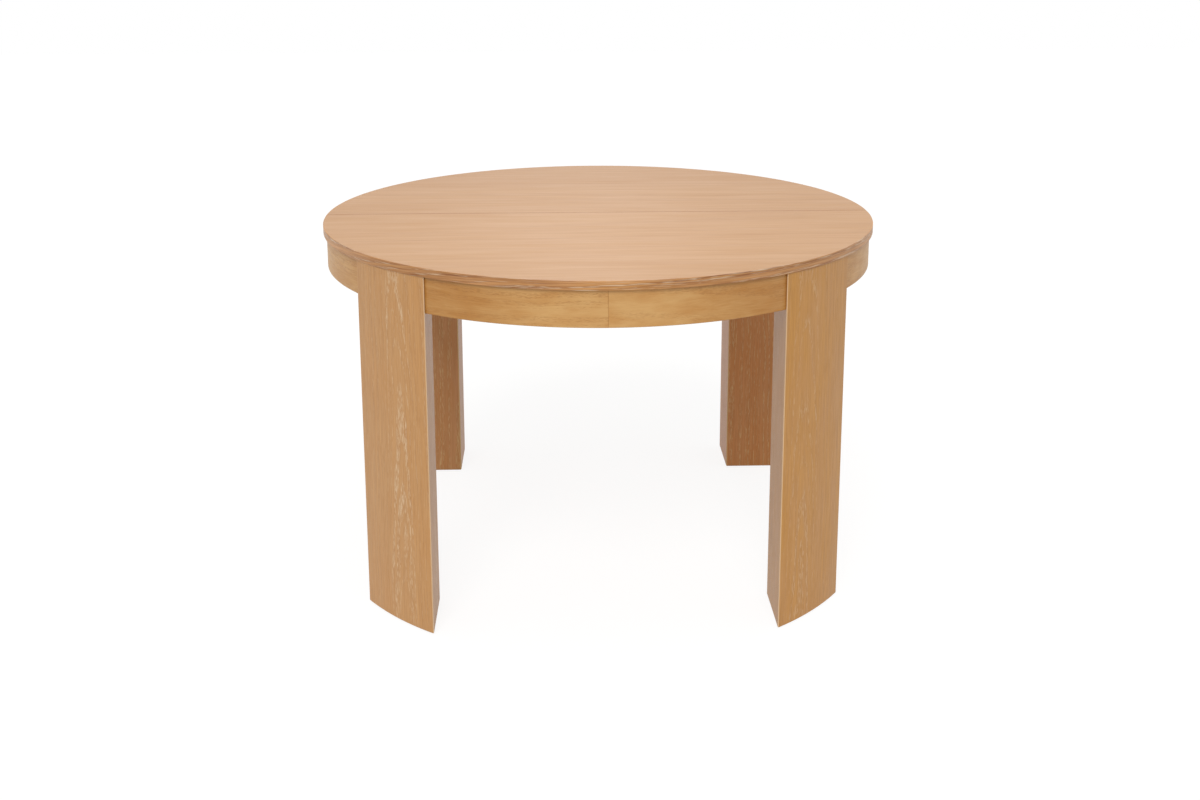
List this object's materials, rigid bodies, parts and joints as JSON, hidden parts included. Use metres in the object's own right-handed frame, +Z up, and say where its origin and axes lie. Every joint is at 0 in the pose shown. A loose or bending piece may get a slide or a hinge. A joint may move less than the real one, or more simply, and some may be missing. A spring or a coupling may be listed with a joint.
{
  "type": "extending dining table",
  "caption": "Round wooden dining table on wedge-shaped legs whose top parts in the middle on geared wooden slides, with a folded leaf stored under it.",
  "frame": {"origin": "on the floor, under the middle of the top", "axes": "+Z up, X along the seam of the top, -Y towards the front half, +Y towards the back half"},
  "size_m": [1.2, 1.2, 0.75],
  "materials": {
    "top_veneer": "oak veneer, satin lacquer",
    "oak_edging": "limed oak edging, satin lacquer",
    "apron_veneer": "oak veneer on bent lamination, satin lacquer",
    "leg_oak": "limed oak, open pores, satin lacquer",
    "beech": "planed beech, unfinished",
    "nylon": "moulded nylon",
    "glide_nylon": "moulded nylon glide",
    "steel": "zinc-plated steel",
    "brass": "turned brass",
    "felt": "pressed wool felt"
  },
  "bodies": {
    "slide_frame": {"middle_rail_left": "beech", "middle_rail_right": "beech", "cross_bars": "beech", "cross_bar_screws": "steel", "pinion_pins": "steel", "leaf_panel_lower": "top_veneer", "leaf_panel_upper": "top_veneer", "leaf_hinges": "brass", "leaf_pads": "felt", "leaf_guides": "beech", "leaf_seam_pins": "beech", "leaf_seam_sockets": "brass"},
    "front_half": {"front_top_half": "top_veneer", "front_top_edging": "oak_edging", "front_apron_left": "apron_veneer", "front_side_apron_left": "apron_veneer", "front_leg_left": "leg_oak", "front_slide_rail_left": "beech", "front_apron_right": "apron_veneer", "front_side_apron_right": "apron_veneer", "front_leg_right": "leg_oak", "front_slide_rail_right": "beech", "front_racks": "nylon", "front_stop_pins": "steel", "front_leg_cleats": "beech", "front_leg_bolts": "steel", "front_apron_dowels": "beech", "front_leg_glides": "glide_nylon", "front_apron_blocks": "beech", "front_top_screws": "steel", "front_seam_pins": "beech", "latch_plates": "steel", "latch_rivets": "steel", "latch_plate_screws": "steel"},
    "back_half": {"back_top_half": "top_veneer", "back_top_edging": "oak_edging", "back_apron_left": "apron_veneer", "back_side_apron_left": "apron_veneer", "back_leg_left": "leg_oak", "back_slide_rail_left": "beech", "back_apron_right": "apron_veneer", "back_side_apron_right": "apron_veneer", "back_leg_right": "leg_oak", "back_slide_rail_right": "beech", "back_racks": "nylon", "back_stop_pins": "steel", "back_leg_cleats": "beech", "back_leg_bolts": "steel", "back_apron_dowels": "beech", "back_leg_glides": "glide_nylon", "back_apron_blocks": "beech", "back_top_screws": "steel", "back_seam_sockets": "brass", "latch_keepers": "steel", "keeper_pins": "steel", "keeper_plate_screws": "steel"},
    "pinion_left": {"pinion_left": "nylon"},
    "pinion_right": {"pinion_right": "nylon"},
    "latch_left": {"latch_lever_left": "steel"},
    "latch_right": {"latch_lever_right": "steel"}
  },
  "joints": [
    {"name": "front_slide", "type": "slide", "parent": "slide_frame", "child": "front_half", "axis": [0, -1, 0], "range_m": [0, 0.2]},
    {"name": "back_slide", "type": "slide", "parent": "slide_frame", "child": "back_half", "axis": [0, 1, 0], "range_m": [0, 0.2]},
    {"name": "pinion_right_spin", "type": "hinge", "parent": "slide_frame", "child": "pinion_right", "pos_m": [0.3875, 0, 0.708], "axis": [0, 0, -1], "range_deg": [0, 641]},
    {"name": "pinion_left_spin", "type": "hinge", "parent": "slide_frame", "child": "pinion_left", "pos_m": [-0.3875, 0, 0.708], "axis": [0, 0, 1], "range_deg": [0, 641]},
    {"name": "latch_right_turn", "type": "hinge", "parent": "front_half", "child": "latch_right", "pos_m": [0.51, -0.035, 0.728], "axis": [0, 0, -1], "range_deg": [0, 90]},
    {"name": "latch_left_turn", "type": "hinge", "parent": "front_half", "child": "latch_left", "pos_m": [-0.51, -0.035, 0.728], "axis": [0, 0, 1], "range_deg": [0, 90]}
  ],
  "couplings": [
    {"joint": "back_slide", "follows": "front_slide", "ratio": 1},
    {"joint": "pinion_right_spin", "follows": "front_slide", "rad_per_m": 55.556},
    {"joint": "pinion_left_spin", "follows": "front_slide", "rad_per_m": 55.556}
  ]
}
